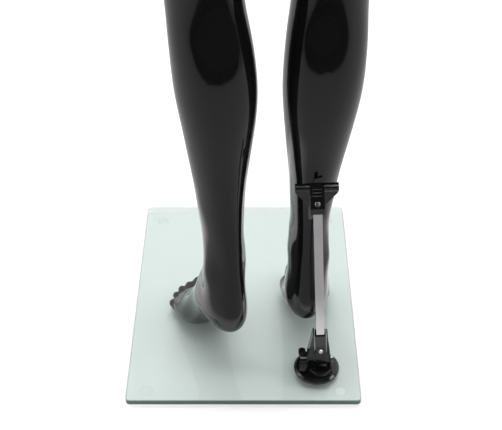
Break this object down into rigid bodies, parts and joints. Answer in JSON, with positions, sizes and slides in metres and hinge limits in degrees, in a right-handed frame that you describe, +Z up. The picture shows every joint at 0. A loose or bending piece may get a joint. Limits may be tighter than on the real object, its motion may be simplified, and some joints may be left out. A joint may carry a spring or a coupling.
{
  "type": "full body mannequin",
  "caption": "Full body display mannequin in gloss black on a clear glass base, held by a strut to the calf, with turning head, waist, arms, hands and leg.",
  "frame": {"origin": "on the floor, in the middle of the bounding box, which is on the figure's midline", "axes": "+Z up; the figure faces -Y; +X is the figure's left"},
  "size_m": [0.5278, 0.413, 1.7503],
  "materials": {
    "black_gloss": "mirror-gloss black lacquer",
    "black_plastic": "moulded gloss black",
    "clear_glass": "polished, pale green",
    "clear_rubber": "soft, clear",
    "satin_aluminium": "satin, brushed lengthways",
    "bright_steel": "bright zinc plated",
    "black_rubber": "matt"
  },
  "bodies": {
    "base": {"glass_base": "clear_glass", "bumper_front_left": "clear_rubber", "bumper_front_right": "clear_rubber", "bumper_rear_left": "clear_rubber", "bumper_rear_right": "clear_rubber", "disc_gasket": "black_rubber", "disc_bolt": "bright_steel", "bolt_washer": "black_rubber", "base_disc": "black_plastic", "hinge_pin": "bright_steel"},
    "wing_nut": {"hinge_wing_nut": "black_plastic"},
    "strut_foot": {"strut_socket": "black_plastic", "socket_screw": "bright_steel"},
    "strut": {"strut_tube": "satin_aluminium", "calf_bracket": "black_plastic", "bracket_screw": "bright_steel", "saddle_pad": "black_rubber", "calf_spigot": "bright_steel"},
    "release": {"release_button": "black_plastic"},
    "lower_body": {"lower_body_shell": "black_gloss", "calf_sleeve": "bright_steel", "waist_slotted_plate": "bright_steel", "left_hip_slotted_plate": "bright_steel"},
    "left_leg": {"left_leg_shell": "black_gloss", "left_hip_studded_plate": "bright_steel"},
    "torso": {"torso_shell": "black_gloss", "waist_studded_plate": "bright_steel", "neck_slotted_plate": "bright_steel", "left_shoulder_slotted_plate": "bright_steel", "right_shoulder_slotted_plate": "bright_steel"},
    "head": {"head_shell": "black_gloss", "neck_studded_plate": "bright_steel"},
    "left_arm": {"left_arm_shell": "black_gloss", "left_shoulder_studded_plate": "bright_steel", "left_wrist_slotted_plate": "bright_steel"},
    "right_arm": {"right_arm_shell": "black_gloss", "right_shoulder_studded_plate": "bright_steel", "right_wrist_slotted_plate": "bright_steel"},
    "left_hand": {"left_hand": "black_gloss", "left_wrist_studded_plate": "bright_steel"},
    "right_hand": {"right_hand": "black_gloss", "right_wrist_studded_plate": "bright_steel"}
  },
  "joints": [
    {"name": "strut_tilt", "type": "hinge", "parent": "base", "child": "strut_foot", "pos_m": [-0.0699, 0.141, 0.031], "axis": [-0.9986, 0.0018, 0.0521], "range_deg": [0, 10]},
    {"name": "wing_nut_turn", "type": "hinge", "parent": "base", "child": "wing_nut", "pos_m": [-0.0699, 0.141, 0.031], "axis": [0.9986, -0.0018, -0.0521], "range_deg": [0, 50]},
    {"name": "strut_height", "type": "slide", "parent": "strut_foot", "child": "strut", "axis": [0.0521, 0.0338, 0.9981], "range_m": [0, 0.025]},
    {"name": "release_press", "type": "slide", "parent": "strut", "child": "release", "axis": [-0.0257, -0.8862, -0.4626], "range_m": [0, 0.0014]},
    {"name": "figure_lift_off", "type": "slide", "parent": "strut", "child": "lower_body", "axis": [0, -0.8192, 0.5736], "range_m": [0, 0.045]},
    {"name": "left_leg_turn", "type": "hinge", "parent": "lower_body", "child": "left_leg", "pos_m": [0.08511, 0.08909, 0.8353], "axis": [0, 0, 1], "range_deg": [0, 15]},
    {"name": "waist_turn", "type": "hinge", "parent": "lower_body", "child": "torso", "pos_m": [0, 0.0915, 1.1353], "axis": [0, 0, 1], "range_deg": [-15, 15]},
    {"name": "head_turn", "type": "hinge", "parent": "torso", "child": "head", "pos_m": [0, 0.104, 1.5103], "axis": [0, 0, 1], "range_deg": [-60, 60]},
    {"name": "left_shoulder_turn", "type": "hinge", "parent": "torso", "child": "left_arm", "pos_m": [0.146, 0.1025, 1.4153], "axis": [-0.9962, 0, 0.0872], "range_deg": [-30, 120]},
    {"name": "right_shoulder_turn", "type": "hinge", "parent": "torso", "child": "right_arm", "pos_m": [-0.146, 0.1025, 1.4153], "axis": [-0.9962, 0, -0.0872], "range_deg": [-30, 120]},
    {"name": "left_wrist_turn", "type": "hinge", "parent": "left_arm", "child": "left_hand", "pos_m": [0.23726, 0.05317, 0.90828], "axis": [0.1359, -0.2142, -0.9673], "range_deg": [-60, 60]},
    {"name": "right_wrist_turn", "type": "hinge", "parent": "right_arm", "child": "right_hand", "pos_m": [-0.23726, 0.05317, 0.90828], "axis": [-0.1359, -0.2142, -0.9673], "range_deg": [-60, 60]}
  ]
}
